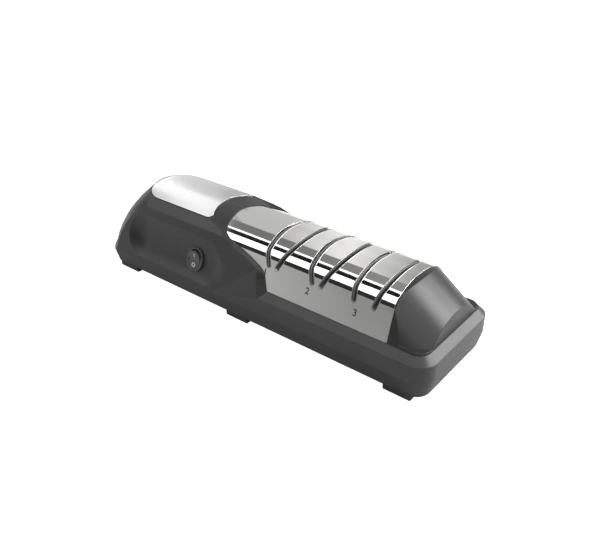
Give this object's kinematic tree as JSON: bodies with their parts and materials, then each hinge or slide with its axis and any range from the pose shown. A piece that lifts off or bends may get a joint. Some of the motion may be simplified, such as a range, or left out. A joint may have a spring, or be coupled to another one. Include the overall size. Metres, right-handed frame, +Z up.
{
  "type": "electric knife sharpener",
  "caption": "Long, low electric knife sharpener with a rounded dark motor end, polished crown, bright slotted stage cover, dark end cap and a rocker switch in a sunk recess.",
  "frame": {"origin": "middle of the whole object in plan, on the plane it stands on", "axes": "+X along the length from the motor end to the end cap, +Y from the switch side to the back, +Z up"},
  "size_m": [0.322, 0.092, 0.0719],
  "materials": {
    "housing_plastic": "fine satin moulding",
    "tray_plastic": "fine satin moulding",
    "pad_rubber": "matt",
    "polished_steel": "polished, faintly brushed",
    "brushed_steel": "bright, lightly brushed",
    "inner_plastic": "plain moulding",
    "switch_plastic": "satin gloss",
    "tab_brass": "bright",
    "screw_steel": "zinc plated",
    "can_steel": "plated",
    "ferrite": "sintered, matt",
    "carbon": "carbon, matt",
    "bush_bronze": "sintered bronze",
    "core_steel": "laminated",
    "copper": "enamelled copper",
    "shaft_steel": "ground",
    "fan_plastic": "plain moulding",
    "board_laminate": "coated laminate",
    "board_black": "satin",
    "coupling_alloy": "turned",
    "grit_steel": "fine bonded grit",
    "polish_disc": "flexible polishing compound"
  },
  "bodies": {
    "base": {"upper_housing": "housing_plastic", "end_cap": "housing_plastic", "base_tray": "tray_plastic", "foot_pads": "pad_rubber", "top_plate": "polished_steel", "stage_cover": "brushed_steel", "guide_1": "inner_plastic", "guide_2": "inner_plastic", "guide_3": "inner_plastic", "switch_case": "switch_plastic", "switch_terminals": "tab_brass", "cord_grommet": "switch_plastic", "base_screws": "screw_steel", "motor_can": "can_steel", "motor_magnets": "ferrite", "motor_end_bell": "inner_plastic", "motor_brushes": "carbon", "motor_bushes": "bush_bronze", "motor_strap": "can_steel", "strap_screws": "screw_steel", "rectifier_board": "board_laminate", "board_parts": "board_black", "bearing_block_inner": "inner_plastic", "bearing_block_outer": "inner_plastic", "spindle_bushes": "bush_bronze", "bearing_screws": "screw_steel", "filings_magnets": "ferrite"},
    "rocker": {"rocker": "switch_plastic"},
    "spindle": {"spindle": "shaft_steel", "shaft_coupling": "coupling_alloy", "motor_shaft": "shaft_steel", "armature_core": "core_steel", "armature_windings": "copper", "commutator": "copper", "cooling_fan": "fan_plastic", "stop_rings": "screw_steel", "disc_spring_1": "screw_steel", "disc_spring_2": "screw_steel", "disc_spring_3": "screw_steel"},
    "disc_1a": {"disc_1a": "grit_steel"},
    "disc_1b": {"disc_1b": "grit_steel"},
    "disc_2a": {"disc_2a": "grit_steel"},
    "disc_2b": {"disc_2b": "grit_steel"},
    "disc_3a": {"disc_3a": "polish_disc"},
    "disc_3b": {"disc_3b": "polish_disc"}
  },
  "joints": [
    {"name": "rocker_tip", "type": "hinge", "parent": "base", "child": "rocker", "pos_m": [-0.0492, -0.03576, 0.03338], "axis": [-1, 0, 0], "range_deg": [0, 18]},
    {"name": "spindle_spin", "type": "hinge", "parent": "base", "child": "spindle", "pos_m": [0, 0, 0.036], "axis": [1, 0, 0], "continuous": true},
    {"name": "disc_1a_slide", "type": "slide", "parent": "spindle", "child": "disc_1a", "axis": [1, 0, 0], "range_m": [0, 0.0008], "stiffness_N_per_m": 300, "springref_m": -0.002, "deforming": ["disc_spring_1"]},
    {"name": "disc_1b_slide", "type": "slide", "parent": "spindle", "child": "disc_1b", "axis": [-1, 0, 0], "range_m": [0, 0.0008], "stiffness_N_per_m": 300, "springref_m": -0.002, "deforming": ["disc_spring_1"]},
    {"name": "disc_2a_slide", "type": "slide", "parent": "spindle", "child": "disc_2a", "axis": [1, 0, 0], "range_m": [0, 0.0008], "stiffness_N_per_m": 300, "springref_m": -0.002, "deforming": ["disc_spring_2"]},
    {"name": "disc_2b_slide", "type": "slide", "parent": "spindle", "child": "disc_2b", "axis": [-1, 0, 0], "range_m": [0, 0.0008], "stiffness_N_per_m": 300, "springref_m": -0.002, "deforming": ["disc_spring_2"]},
    {"name": "disc_3a_slide", "type": "slide", "parent": "spindle", "child": "disc_3a", "axis": [1, 0, 0], "range_m": [0, 0.0008], "stiffness_N_per_m": 300, "springref_m": -0.002, "deforming": ["disc_spring_3"]},
    {"name": "disc_3b_slide", "type": "slide", "parent": "spindle", "child": "disc_3b", "axis": [-1, 0, 0], "range_m": [0, 0.0008], "stiffness_N_per_m": 300, "springref_m": -0.002, "deforming": ["disc_spring_3"]}
  ]
}
